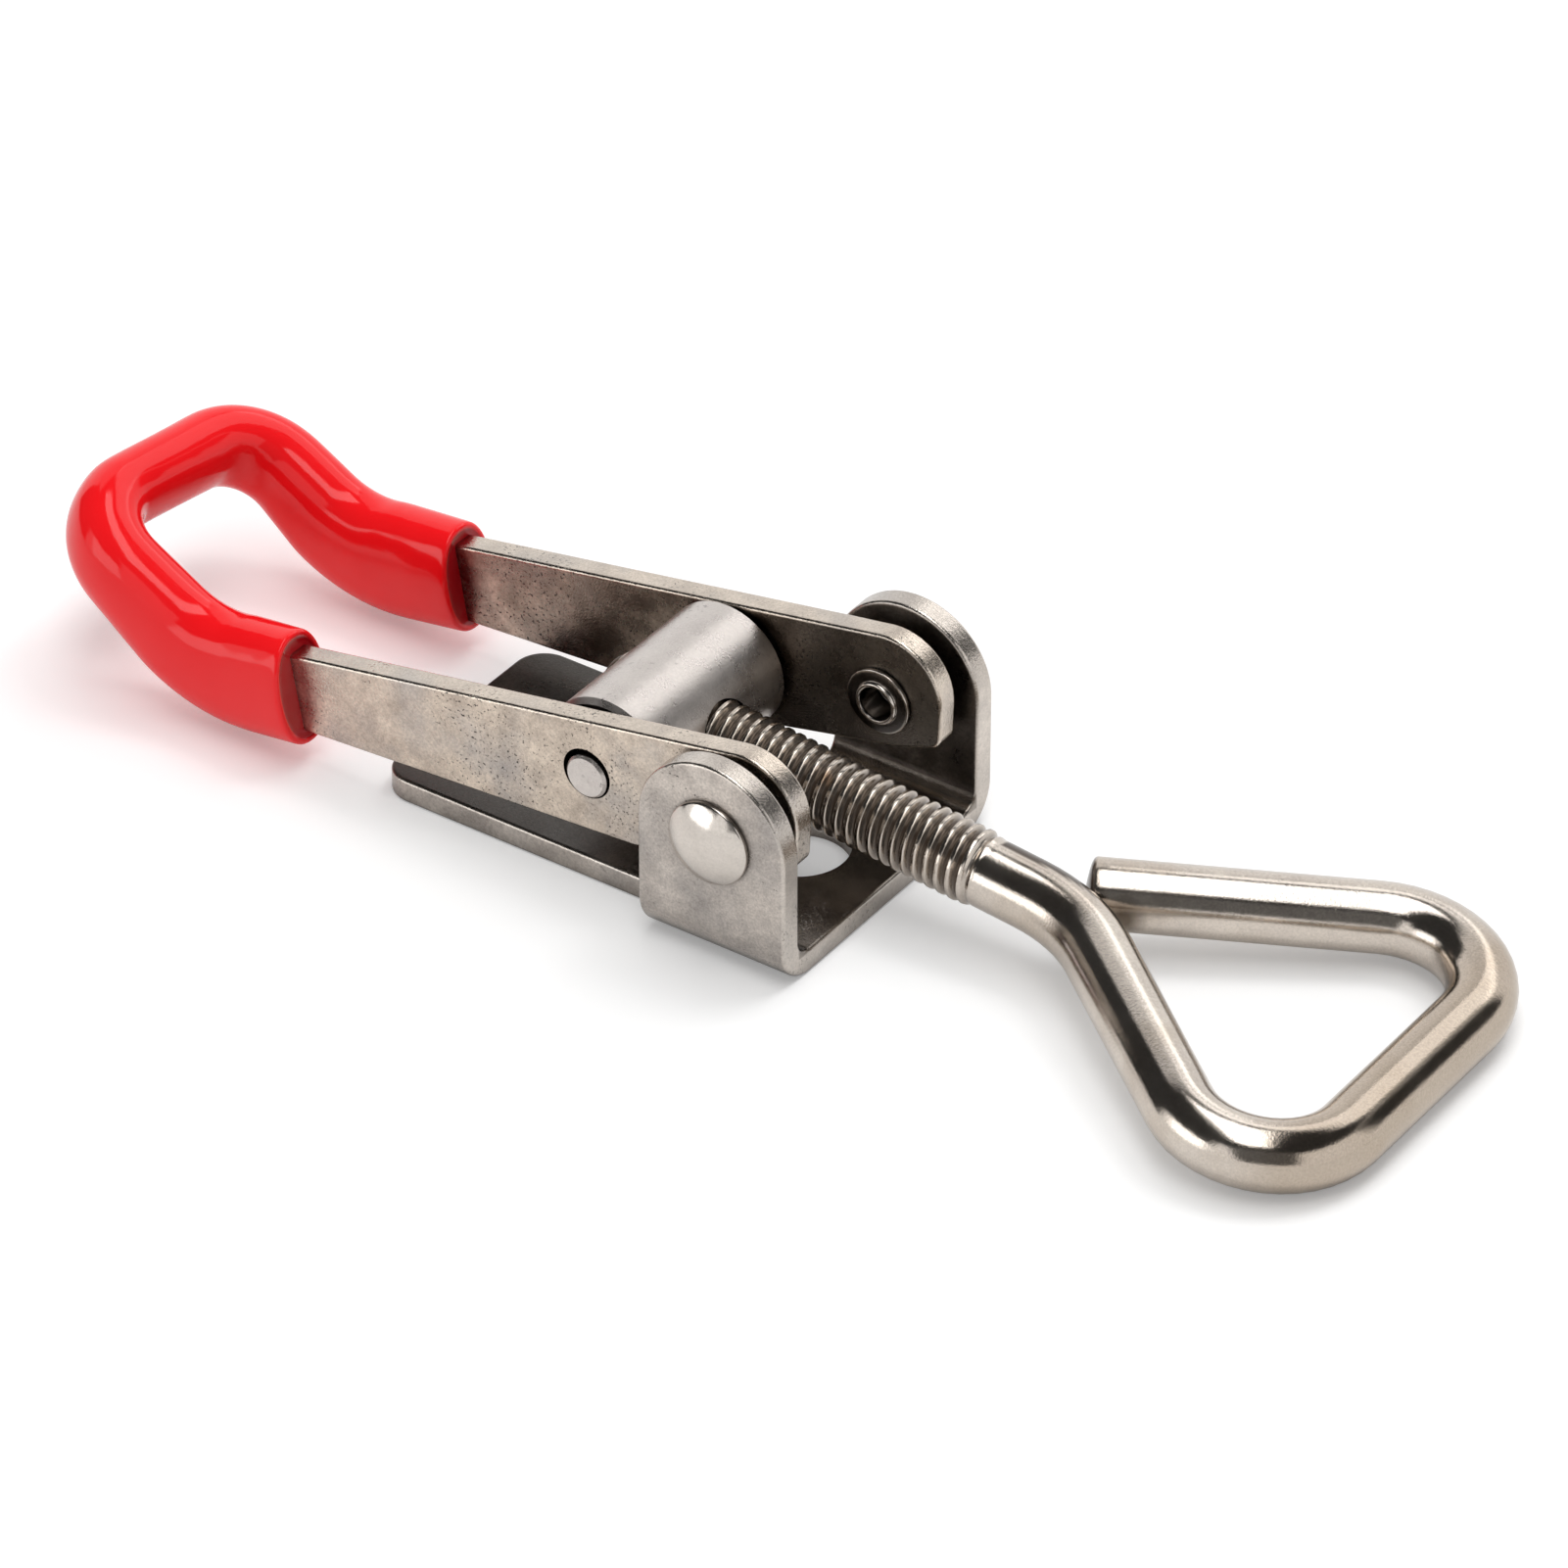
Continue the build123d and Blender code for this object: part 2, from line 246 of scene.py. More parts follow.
def only_in_metal(piece):
    """A card changes reflections only: it casts no shadow and is never in the picture."""
    piece.visible_camera = False
    piece.visible_diffuse = False
    piece.visible_shadow = False


def card(name, azimuth, elevation, distance, width, height, material):
    """A flat card that faces the latch."""
    bm = bmesh.new()
    bmesh.ops.create_grid(bm, x_segments=1, y_segments=1, size=0.5)
    direction = towards(azimuth, elevation)
    turn = direction.to_track_quat("Z", "Y").to_matrix().to_4x4()
    size = Matrix.Diagonal((width, height, 1.0, 1.0))
    place = Matrix.Translation(direction * distance)
    bmesh.ops.transform(bm, matrix=place @ turn @ size, verts=bm.verts)
    only_in_metal(stage_piece(name, bm, material))


black = card_finish("black_card", 0.02)
grey = card_finish("grey_card", 0.12)
white = card_finish("white_card", 0.85)
# name, azimuth, elevation, distance, width, height, finish
card("card_left", -172, 22, 1.2, 0.88, 1.17, black)
card("card_front_left", -128, 33, 1.2, 1.2, 0.36, black)
card("card_camera", -53, 27, 1.2, 1.1, 0.84, grey)
card("card_right", 48, 23, 1.15, 0.45, 0.55, black)
card("card_back_left", 136, 44, 1.2, 0.78, 0.46, white)

dome_radius = 1.4
dome_foot = 38
dome = bmesh.new()
bmesh.ops.create_uvsphere(dome, u_segments=48, v_segments=32, radius=dome_radius)
bmesh.ops.bisect_plane(dome, geom=dome.verts[:] + dome.edges[:] + dome.faces[:],
                       plane_co=(0, 0, dome_radius * sin(radians(dome_foot))),
                       plane_no=(0, 0, -1), clear_outer=True)
only_in_metal(stage_piece("dark_ceiling", dome, black))
print("cards placed")

# %% [markdown]
# ## Worn steel
# All the metal is bare steel, but no two pieces were finished alike. The folded sheet was
# tumbled, which leaves it matt and mottled. The barrel and rivets were turned. The wire was drawn
# and polished. What wear leaves on all of them is one effect, so it is a node group: cloudy tone,
# fine grain, and pits that gather in patches. It reads Object coordinates in metres, so that its
# sizes are real sizes: a noise of scale 4000 has features of a quarter of a millimetre.

# %% Node group: worn skin
def new_group(name, inputs, outputs):
    """Start a node group. Inputs and outputs are (name, kind, default) rows."""
    group = bpy.data.node_groups.new(name, "ShaderNodeTree")
    for label, kind, default in inputs:
        socket = group.interface.new_socket(label, in_out="INPUT", socket_type="NodeSocket" + kind)
        if default is not None:
            socket.default_value = default
    for label, kind, _ in outputs:
        group.interface.new_socket(label, in_out="OUTPUT", socket_type="NodeSocket" + kind)
    return group, group.nodes.new("NodeGroupInput"), group.nodes.new("NodeGroupOutput")


skin, skin_in, skin_out = new_group(
    "worn_skin",
    [("Vector", "Vector", None), ("Cloud Size", "Float", 260.0), ("Grain Size", "Float", 5200.0),
     ("Pit Size", "Float", 3600.0), ("Pit Patch", "Float", 0.5)],
    [("Cloud", "Float", None), ("Stain", "Float", None), ("Grain", "Float", None),
     ("Pits", "Float", None), ("Height", "Float", None)],
)


def skin_noise(scale, detail, roughness, low, high):
    """A noise of the skin, stretched to 0 to 1. Scale is a number or an input's name."""
    noise = add(skin, "TexNoise", Detail=detail, Roughness=roughness)
    join(skin, skin_in, "Vector", noise, "Vector")
    if isinstance(scale, str):
        join(skin, skin_in, scale, noise, "Scale")
    else:
        noise.inputs["Scale"].default_value = scale
    return ramp(skin, noise, "Fac", low, high)


# scale, detail, roughness, then what becomes 0 and what becomes 1
cloud = skin_noise("Cloud Size", 5.0, 0.62, 0.33, 0.67)
stain = skin_noise(95.0, 5.0, 0.6, 0.46, 0.66)
grain = skin_noise("Grain Size", 3.0, 0.7, 0.25, 0.75)
speck = skin_noise("Pit Size", 2.0, 0.6, 0.60, 0.66)
patch_noise = add(skin, "TexNoise", Scale=150.0, Detail=4.0, Roughness=0.6)
join(skin, skin_in, "Vector", patch_noise, "Vector")
patch_edge = combine(skin, "SUBTRACT", (patch_noise, "Fac"), (skin_in, "Pit Patch"))
patch = ramp(skin, patch_edge, 0, 0.0, 0.10)
pits = combine(skin, "MULTIPLY", (speck, 0), (patch, 0))
high = combine(skin, "SUBTRACT", (grain, 0), (pits, 0))
for source, name in ((cloud, "Cloud"), (stain, "Stain"), (grain, "Grain"), (pits, "Pits"),
                     (high, "Height")):
    join(skin, source, 0, skin_out, name)
print("node group", skin.name, "with", len(skin.nodes), "nodes")

# %% Starting a finish
def place_group(tree, group, coords, **sockets):
    """Put a node group in a tree, fed by Object coordinates."""
    node = add(tree, "Group")
    node.node_tree = group
    for socket, value in sockets.items():
        node.inputs[socket.replace("_", " ")].default_value = value
    join(tree, coords, "Object", node, "Vector")
    return node


def new_finish(name):
    """Start a material and give its tree, its shader and its Object coordinates."""
    material = bpy.data.materials.new(name)
    material.use_nodes = True
    tree = material.node_tree
    return material, tree, tree.nodes["Principled BSDF"], add(tree, "TexCoord")


print("a finish starts from object coordinates")

# %% Masks for painted shade, scale and wear
def gap_shade_mask(tree, reach):
    """0 on open skin, up to 1 in corners and gaps no wider than the reach, where shade is painted.
    """
    shut_in, in_the_open = 0.30, 0.92
    hidden = add(tree, "AmbientOcclusion", "gaps", Distance=reach)
    hidden.samples = 8
    return ramp(tree, hidden, "AO", shut_in, in_the_open, 1.0, 0.0)


def inner_side(tree, coords, half_gap, above):
    """1 between two planes this far from the middle and above this height, in metres."""
    split = add(tree, "SeparateXYZ")
    join(tree, coords, "Object", split, 0)
    aside = combine(tree, "ABSOLUTE", (split, "Y"), 0.0)
    between = ramp(tree, aside, 0, half_gap - 0.00005, half_gap + 0.00010, 1.0, 0.0)
    over = ramp(tree, split, "Z", above - 0.0001, above + 0.00005)
    return combine(tree, "MULTIPLY", (between, 0), (over, 0))


def worn_edge(tree, coords):
    """1 on rims and rounded edges, 0 on the flat sides, which face straight left or right."""
    rounded, flat = 0.88, 0.985
    facing = add(tree, "SeparateXYZ")
    join(tree, coords, "Normal", facing, 0)
    sideways = combine(tree, "ABSOLUTE", (facing, "Y"), 0.0)
    return ramp(tree, sideways, 0, rounded, flat, 1.0, 0.0)


print("masks ready: grime, inner side, worn edge")

# %% Bare metal
def mottle(tree, worn, colour, low, high):
    """Vary a colour from grain to grain."""
    speckle = ramp(tree, worn, "Grain", 0.0, 1.0, low, high)
    return blend(tree, 1.0, (colour, MIXED), (speckle, 0), "MULTIPLY")


def bare_metal(tree, shader, worn, colour, rough, relief, polish=None):
    """Lead colour, roughness and relief into a metal shader. Polish is a mask that halves haze."""
    halved = 0.5
    join(tree, colour, MIXED, shader, "Base Color")
    haze = ramp(tree, worn, "Cloud", 0.0, 1.0, *rough)
    if polish:
        clear = ramp(tree, polish, 0, 0.0, 1.0, 1.0, halved)
        haze = combine(tree, "MULTIPLY", (haze, 0), (clear, 0))
    join(tree, haze, 0, shader, "Roughness")
    bump = add(tree, "Bump", Strength=1.0, Distance=relief)
    join(tree, worn, "Height", bump, "Height")
    join(tree, bump, 0, shader, "Normal")
    shader.inputs["Metallic"].default_value = 1.0


print("metal helpers ready")

# %% [markdown]
# ## Tumbled sheet
# Tumbling rounds the edges and leaves a grey, cloudy skin. Hands and tools only reach the outside,
# so the inner sides of the ears and arms keep a brown scale. Their darkness is also painted shade
# of the gap between them, and under the arms and round the pivots it is painted nearly black as
# shade.
# Where two pieces nearly touch, ambient occlusion finds the gap and shade is painted there. The
# arms are warmer than the bracket and have patches of pits.

# %% Sheet steel
scale_and_shade_depth = (0.24, 0.20, 0.17)
# Near black of the painted shade under the arms and round the pivots.
black_shade = (0.10, 0.093, 0.087)
black_pits = (0.05, 0.045, 0.042)
rubbed_steel = (0.72, 0.66, 0.59)
# Colour of the painted shade in gaps and corners.
sheet_gap_shade = (0.055, 0.045, 0.038)
sheet_relief = 0.000014


def sheet_steel(name, dark, light, stained, inside, half_gap, above, rough, reach, shade_black_span,
                **sizes):
    """A tumbled sheet: cloudy outside, scaled inside, pitted in patches, bright on its edges.

    The inner side lies within half_gap of the middle and above a height. It is darkened, partly as
    scale and partly as painted shade of the gap. A span of two places along the latch says where
    the inner side turns to black painted shade, where no edge is rubbed bright. Gaps and corners
    within reach are painted dark as shade.
    places along the latch between which its scale turns black, where no edge is rubbed bright.
    """
    material, tree, shader, coords = new_finish(name)
    worn = place_group(tree, skin, coords, **sizes)
    tone = blend(tree, (worn, "Cloud"), dark, light)
    soft_stain = combine(tree, "MULTIPLY", (worn, "Stain"), 0.65)
    tone = blend(tree, (soft_stain, 0), (tone, MIXED), stained)
    blotch = combine(tree, "MULTIPLY", (worn, "Cloud"), (worn, "Cloud"))
    # The inner side darkens in blotches: partly scale, partly painted shade of the gap between the
    # sides.
    scale_and_shade_dark = tuple(part * share for part, share in zip(inside, scale_and_shade_depth))
    scale_and_shade_tone = blend(tree, (blotch, 0), scale_and_shade_dark, inside)
    # Past a place along the latch, the inner side is painted near black as shade.
    along = add(tree, "SeparateXYZ")
    join(tree, coords, "Object", along, 0)
    shade_blackening = ramp(tree, along, "X", *shade_black_span)
    scale_and_shade_tone = blend(tree, (shade_blackening, 0), (scale_and_shade_tone, MIXED), black_shade)
    hidden_side = inner_side(tree, coords, half_gap, above)
    tone = blend(tree, (hidden_side, 0), (tone, MIXED), (scale_and_shade_tone, MIXED))
    tone = mottle(tree, worn, tone, 0.70, 1.21)
    tone = blend(tree, (worn, "Pits"), (tone, MIXED), black_pits)
    out_of_reach = combine(tree, "MULTIPLY", (hidden_side, 0), (shade_blackening, 0))
    in_reach = combine(tree, "SUBTRACT", 1.0, (out_of_reach, 0))
    edge = combine(tree, "MULTIPLY", (worn_edge(tree, coords), 0), (in_reach, 0))
    rubbed_edge = combine(tree, "MULTIPLY", (edge, 0), 0.30)
    tone = blend(tree, (rubbed_edge, 0), (tone, MIXED), rubbed_steel)
    # Painted shade: corners and gaps within reach darken towards a near black.
    shade_and_dirt = combine(tree, "MULTIPLY", (gap_shade_mask(tree, reach), 0), 0.80)
    tone = blend(tree, (shade_and_dirt, 0), (tone, MIXED), sheet_gap_shade)
    bare_metal(tree, shader, worn, tone, rough, sheet_relief, edge)
    return material


print("sheet finish ready")

# %% Bracket and lever
def finish_node(node, material):
    """Give a solid of the frame its finish."""
    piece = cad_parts[node]
    piece.data.materials.clear()
    piece.data.materials.append(material)


ear_inside = 0.0116
arm_inside = 0.0083
plate_top = 0.0019
under_all = -0.1
bracket_steel = sheet_steel(
    "tumbled_steel", dark=(0.42, 0.375, 0.34), light=(0.72, 0.65, 0.585),
    stained=(0.34, 0.315, 0.30), inside=(0.24, 0.205, 0.18), half_gap=ear_inside,
    above=plate_top, rough=(0.26, 0.38), reach=0.0025, shade_black_span=(0.006, -0.001),
    Pit_Patch=0.54, Cloud_Size=330.0)
lever_steel = sheet_steel(
    "lever_steel", dark=(0.50, 0.42, 0.35), light=(0.76, 0.65, 0.54),
    stained=(0.38, 0.365, 0.365), inside=(0.46, 0.37, 0.29), half_gap=arm_inside,
    above=under_all, rough=(0.20, 0.34), reach=0.0006, shade_black_span=(0.0035, 0.0065),
    Pit_Patch=0.47, Cloud_Size=420.0)
finish_node("base_bracket", bracket_steel)
finish_node("lever", lever_steel)
print("sheet steels:", bracket_steel.name, lever_steel.name)

# %% [markdown]
# ## Turned steel
# The barrel and the rivets come off a lathe, so they are smoother than the sheet and a little
# colder in colour. The barrel has small nicks from the bolt. The rivets' heads were pressed in a
# polished die and shine more. Their rolled tails are darker in the bore, which is painted shade,
# and on the flat round it, as marked on their mesh in the attribute "dirt_and_shade". Gaps and
# corners are painted dark as shade.

# %% Turned steel
black_nicks = (0.12, 0.11, 0.11)
# Colour of the painted shade in gaps and corners of turned steel.
turned_gap_shade = (0.06, 0.05, 0.045)
tail_dark_shade = (0.15, 0.135, 0.125)


def turned_steel(name, dark, light, rough, relief, dark_tail=False, **sizes):
    """A turned piece: even, satin, with a few nicks and painted shade in its gaps. With a dark
    tail, its marked places are darkened too.
    """
    material, tree, shader, coords = new_finish(name)
    worn = place_group(tree, skin, coords, **sizes)
    tone = blend(tree, (worn, "Cloud"), dark, light)
    tone = mottle(tree, worn, tone, 0.90, 1.08)
    nicked = combine(tree, "MULTIPLY", (worn, "Pits"), 0.6)
    tone = blend(tree, (nicked, 0), (tone, MIXED), black_nicks)
    # Painted shade in gaps and corners.
    shade_and_dirt = combine(tree, "MULTIPLY", (gap_shade_mask(tree, reach=0.0018), 0), 0.85)
    tone = blend(tree, (shade_and_dirt, 0), (tone, MIXED), turned_gap_shade)
    # Painted shade in the bore of the rolled tail, and a darker flat round it.
    if dark_tail:
        marks = add(tree, "Attribute")
        marks.attribute_name = "dirt_and_shade"
        tone = blend(tree, (marks, "Fac"), (tone, MIXED), tail_dark_shade)
    bare_metal(tree, shader, worn, tone, rough, relief)
    return material


barrel_steel = turned_steel(
    "barrel_steel", dark=(0.60, 0.55, 0.52), light=(0.69, 0.64, 0.60), rough=(0.25, 0.32),
    relief=0.000010, Pit_Patch=0.54, Pit_Size=2600.0, Cloud_Size=420.0)
rivet_steel = turned_steel(
    "rivet_steel", dark=(0.60, 0.55, 0.50), light=(0.74, 0.68, 0.62), rough=(0.12, 0.19),
    relief=0.000002, dark_tail=True, Pit_Patch=0.7)
finish_node("barrel_nut", barrel_steel)
print("turned steels:", barrel_steel.name, rivet_steel.name)

# %% [markdown]
# ## New pieces
# The rivets, the wire and the sleeve are made again in millimetres, each along its own Z or in
# the latch's frame. One helper brings such a mesh to its place, gives it its finish, hides the
# solid it stands for and lets it ride on the body that carries it.

# %% Helper for new pieces
mm = 0.001


def finish_piece(name, bm, matrix, material, body, nodes):
    """Place a bmesh by its matrix and make it a smooth piece of the latch."""
    bmesh.ops.transform(bm, matrix=matrix, verts=bm.verts)
    mesh = bpy.data.meshes.new(name)
    bm.to_mesh(mesh)
    bm.free()
    mesh.shade_smooth()
    mesh.materials.append(material)
    piece = bpy.data.objects.new(name, mesh)
    bpy.context.collection.objects.link(piece)
    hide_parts(*nodes)
    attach(piece, body)
    print(name, len(mesh.polygons), "faces")
    return piece


print("one unit of a new mesh is", mm, "m")

# %% [markdown]
# ## The pivot rivets
# A rivet starts as a turned pin with a drilled tail. A die holds its domed head outside the ear
# while a punch rolls the tail over inside the arm. A boolean of cylinders would leave sharp
# corners, but pressed corners are soft and each catches a thin line of light. So one outline is
# drawn from pole to pole with its corners eased, and spun once round.

# %% Sizes of a rivet
head_radius, head_height, head_rim = 3.45, 1.5, 0.35
shank_radius, shank_length_held = 2.0, 5.4
flange_radius, flange_rim = 2.72, 0.30
lip_outside, bore_radius, lip_foot, lip_top = 1.72, 1.42, 0.36, 0.70
flat_inside, flat_outside = lip_outside + 0.14, flange_radius - 0.22
bore_floor = -3.55
flat_slope = 0.015
lip_shoulder = -shank_length_held - lip_foot
print("rivet", 2 * head_radius, "mm over its head")

# %% Helpers for outlines
corner_steps = 4
close_by = 0.03


def eased(outline, easing):
    """Round each corner. Two points close to it keep the flats beside it flat."""
    points = [outline[0]]
    for before, corner, after, ease in zip(outline, outline[1:], outline[2:], easing):
        back = (before - corner).normalized()
        on = (after - corner).normalized()
        if ease:
            points.append(corner + back * (ease + close_by))
            for step in range(corner_steps + 1):
                part = step / corner_steps
                points.append(corner + back * ease * (1 - part) ** 2 + on * ease * part ** 2)
            points.append(corner + on * (ease + close_by))
        else:
            points.append(corner)
    return points + [outline[-1]]


def arc(centre, radius, first, last, steps):
    """Points of an arc, by its angles in degrees."""
    turns = [radians(first + (last - first) * step / steps) for step in range(steps + 1)]
    return [centre + radius * Vector((cos(turn), sin(turn))) for turn in turns]


print("outline helpers ready")

# %% Outline of a rivet
dome_rise = head_height - head_rim
dome_round = (head_radius ** 2 + dome_rise ** 2) / (2 * dome_rise)
dome_edge = degrees(acos(head_radius / dome_round))
cap = arc(Vector((0.0, head_height - dome_round)), dome_round, 90.0, dome_edge, 16)
held_line = [Vector(pair) for pair in (
    (head_radius, 0.0), (shank_radius, 0.0), (shank_radius, -shank_length_held),
    (flange_radius, -shank_length_held), (flange_radius, -shank_length_held - flange_rim),
    (flat_outside, lip_shoulder + flat_slope), (flat_inside, lip_shoulder))]
half_lip = (lip_outside - bore_radius) / 2
lip_depth = lip_top - lip_foot
lip_round = (half_lip ** 2 + lip_depth ** 2) / (2 * lip_depth)
lip_turn = degrees(acos(half_lip / lip_round))
lip = arc(Vector((bore_radius + half_lip, lip_shoulder - lip_depth + lip_round)), lip_round,
          lip_turn, -180.0 - lip_turn, 14)
bore = [Vector((bore_radius, bore_floor)), Vector((0.0, bore_floor))]
head_ease, under_ease, flange_ease, rim_ease, floor_ease = 0.14, 0.06, 0.06, 0.07, 0.25
easing = ([0.0] * (len(cap) - 2) + [head_ease, under_ease, 0.0, 0.0, flange_ease, rim_ease]
          + [0.0] * (len(lip) + 2) + [floor_ease])
rivet_outline = eased(cap + held_line + lip + bore, easing)
print("rivet outline", len(rivet_outline), "points")

# %% Spinning the rivets
rivet_sides = 96
near_low, near_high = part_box("pivot_rivet_near")
pivot = (near_low + near_high) / 2
pivot_x = pivot.x / mm
ear_face = -near_low.y - head_height * mm


def mark_dark_tail(bm):
    """Mark the bore and the flat of the rolled tail, which are darkened: in the bore this is
    painted shade.
    """
    dark_layer = bm.verts.layers.float.new("dirt_and_shade")
    slack = 0.01
    clear_of_lip = lip_shoulder + 0.2
    for vert in bm.verts:
        out, height = hypot(vert.co.x, vert.co.y), vert.co.z
        in_tail = height < bore_floor + slack
        in_bore = out < bore_radius - slack or (height > clear_of_lip
                                                and out < bore_radius + slack)
        on_flat = flat_inside - slack < out < flat_outside + slack
        vert[dark_layer] = float(in_tail and (in_bore or on_flat))


def spin_rivet():
    """A rivet along Z, its head up, with the outside of the ear at height 0."""
    bm = bmesh.new()
    line = [bm.verts.new((spot.x, 0.0, spot.y)) for spot in rivet_outline]
    edges = [bm.edges.new(pair) for pair in zip(line, line[1:])]
    bmesh.ops.spin(bm, geom=line + edges, cent=(0, 0, 0), axis=(0, 0, 1), angle=2 * pi,
                   steps=rivet_sides, use_merge=True)
    bmesh.ops.remove_doubles(bm, verts=bm.verts, dist=0.001)
    bmesh.ops.recalc_face_normals(bm, faces=bm.faces)
    mark_dark_tail(bm)
    return bm


for side, name in ((-1, "near"), (1, "far")):
    stand = (Matrix.Translation((pivot.x, side * ear_face, pivot.z))
             @ Matrix.Rotation(-side * pi / 2, 4, "X") @ Matrix.Scale(mm, 4))
    finish_piece(name + "_rivet", spin_rivet(), stand, rivet_steel, "base",
                 ["pivot_rivet_" + name])

# %% [markdown]
# ## The eye bolt
# One wire does three jobs. A thread is rolled on its first part, the rest is bent into a three
# sided loop, and its cut end comes back to lie beside the shank. The solid model's thread is a
# plain groove with flat crests, but rolling leaves a double line on each crest and cutting
# leaves a domed end, so the whole wire is made again here. The thread is a true screw: one
# tooth's outline, spun round the axis while it climbs. The loop is made as a wire bender makes
# it: a ring of edges is pushed straight, then spun about a post, then pushed straight again.

# %% Sizes of the wire
wire_radius = 2.7
crest_radius = 2.95
root_radius = 2.42
pitch = 1.0
steps_per_turn = 48
thread_tail = 5.0
thread_ahead = 29.2
chamfer_radius = 2.3
fade_from, fade_length = 1.6, 1.4
barrel_low, barrel_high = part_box("barrel_nut")
wire_low, wire_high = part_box("eye_bolt")
barrel_centre = (barrel_low + barrel_high) / 2 / mm
loop_far = Vector((wire_high.x / mm - wire_radius, 0, wire_low.z / mm + wire_radius))
shank = loop_far - Vector((barrel_centre.x, 0, barrel_centre.z))
shank_length = shank.length
shank_turn = Matrix((Vector((0, 1, 0)), shank.normalized().cross(Vector((0, 1, 0))),
                     shank.normalized())).transposed().to_4x4()
to_latch = (Matrix.Scale(mm, 4) @ Matrix.Translation((barrel_centre.x, 0, barrel_centre.z))
            @ shank_turn)
print("shank", round(shank_length, 2), "mm from barrel to the far side of the loop")

# %% Helpers for the wire
def smooth(value):
    """0 to 1 with soft ends, held outside."""
    value = max(0.0, min(1.0, value))
    return value * value * (3 - 2 * value)


def run_out(height):
    """0 along the thread and 1 past it, where the rolled teeth fade into the plain wire."""
    return smooth((height - thread_ahead + fade_from) / fade_length)


def open_rim(bm, height):
    """The free edges of a tube whose middle lies at this height."""
    return [edge for edge in bm.edges if edge.is_boundary
            and abs((edge.verts[0].co.z + edge.verts[1].co.z) / 2 - height) < 0.02]


print("wire helpers ready")

# %% The rolled thread
def rolled_thread(bm):
    """A right handed screw along Z, open at both ends.

    The tooth's points are (along, high), as shares of the pitch and the depth. It is spun a few
    turns too far and then cut to length.
    """
    tooth = ((0.0, 0.0), (0.09, 0.03), (0.22, 0.42), (0.33, 0.86), (0.40, 1.0), (0.5, 0.86),
             (0.60, 1.0), (0.67, 0.86), (0.78, 0.42), (0.91, 0.03), (1.0, 0.0))
    turns = round((thread_tail + thread_ahead) / pitch) + 3
    depth = crest_radius - root_radius
    start = -thread_tail - 2 * pitch
    line = [bm.verts.new((root_radius + depth * high, 0, start + pitch * along))
            for along, high in tooth]
    edges = [bm.edges.new(pair) for pair in zip(line, line[1:])]
    bmesh.ops.spin(bm, geom=line + edges, cent=(0, 0, 0), axis=(0, 0, 1), angle=2 * pi * turns,
                   dvec=(0, 0, pitch / steps_per_turn), steps=steps_per_turn * turns)
    bmesh.ops.remove_doubles(bm, verts=bm.verts, dist=0.002)
    for vert in bm.verts:
        radius = hypot(vert.co.x, vert.co.y)
        target = radius + (wire_radius - radius) * run_out(vert.co.z)
        target = min(target, chamfer_radius + max(0.0, vert.co.z + thread_tail))
        vert.co.x *= target / radius
        vert.co.y *= target / radius
    for height, side in ((-thread_tail, -1), (thread_ahead, 1)):
        bmesh.ops.bisect_plane(bm, geom=bm.verts[:] + bm.edges[:] + bm.faces[:],
                               plane_co=(0, 0, height), plane_no=(0, 0, side), clear_outer=True)


bolt = bmesh.new()
dirt_and_shade = bolt.verts.layers.float.new("dirt_and_shade")
rolled_thread(bolt)
print("thread", len(bolt.faces), "faces")

# %% Helpers for bending
ring_step = 1.0


def points_of(rim):
    """The points of a ring of edges, each once and always in the same order."""
    return list(dict.fromkeys(vert for edge in rim for vert in edge.verts))


def rim_of(geometry):
    """The edges of the newest ring: those whose two ends are both new."""
    verts = {item for item in geometry if isinstance(item, bmesh.types.BMVert)}
    return [item for item in geometry if isinstance(item, bmesh.types.BMEdge)
            and set(item.verts) <= verts]


def push(bm, rim, move):
    """Push a ring of edges straight on, in steps short enough to carry small dents."""
    steps = max(1, round(move.length / ring_step))
    for _ in range(steps):
        made = bmesh.ops.extrude_edge_only(bm, edges=rim)["geom"]
        rim = rim_of(made)
        bmesh.ops.translate(bm, verts=points_of(rim), vec=move / steps)
    return rim


def setback(radius, before, after):
    """How far before a corner its bend begins."""
    return radius * tan(before.angle(after) / 2)


def bend(bm, rim, corner, before, after, radius):
    """Spin a ring of edges round a post that touches both runs at a corner."""
    angle = before.angle(after)
    axis = before.cross(after).normalized()
    centre = corner - before * setback(radius, before, after) + axis.cross(before) * radius
    steps = max(4, round(angle * radius / ring_step))
    spun = bmesh.ops.spin(bm, geom=points_of(rim) + rim, cent=centre, axis=axis, angle=angle,
                          steps=steps)
    return rim_of(spun["geom_last"])


print("a run has a ring at every", ring_step, "mm")

# %% The bent loop
fork = 36.8
near_corner = -20.8
far_corner = 22.0
cut_end = Vector((4.3, -1.0, 35.45))
fork_bend, near_bend, far_bend = 13.0, 6.8, 7.5
ring_sides = 64
corners = [Vector((0, 0, fork)), Vector((near_corner, 0, shank_length)),
           Vector((far_corner, 0, shank_length)), cut_end]
bends = [fork_bend, near_bend, far_bend]
runs = [Vector((0, 0, 1))] + [(b - a).normalized() for a, b in zip(corners, corners[1:])]
join_gap = 0.25
wire_start = thread_ahead + join_gap
made = bmesh.ops.create_circle(bolt, segments=ring_sides, radius=wire_radius,
                               matrix=Matrix.Translation((0, 0, wire_start)))
rim = [edge for edge in bolt.edges if set(edge.verts) <= set(made["verts"])]
first_rim = list(rim)
place = Vector((0, 0, wire_start))
for corner, radius, before, after in zip(corners, bends, runs, runs[1:]):
    bend_start = corner - before * setback(radius, before, after)
    rim = push(bolt, rim, bend_start - place)
    rim = bend(bolt, rim, corner, before, after, radius)
    place = corner + after * setback(radius, before, after)
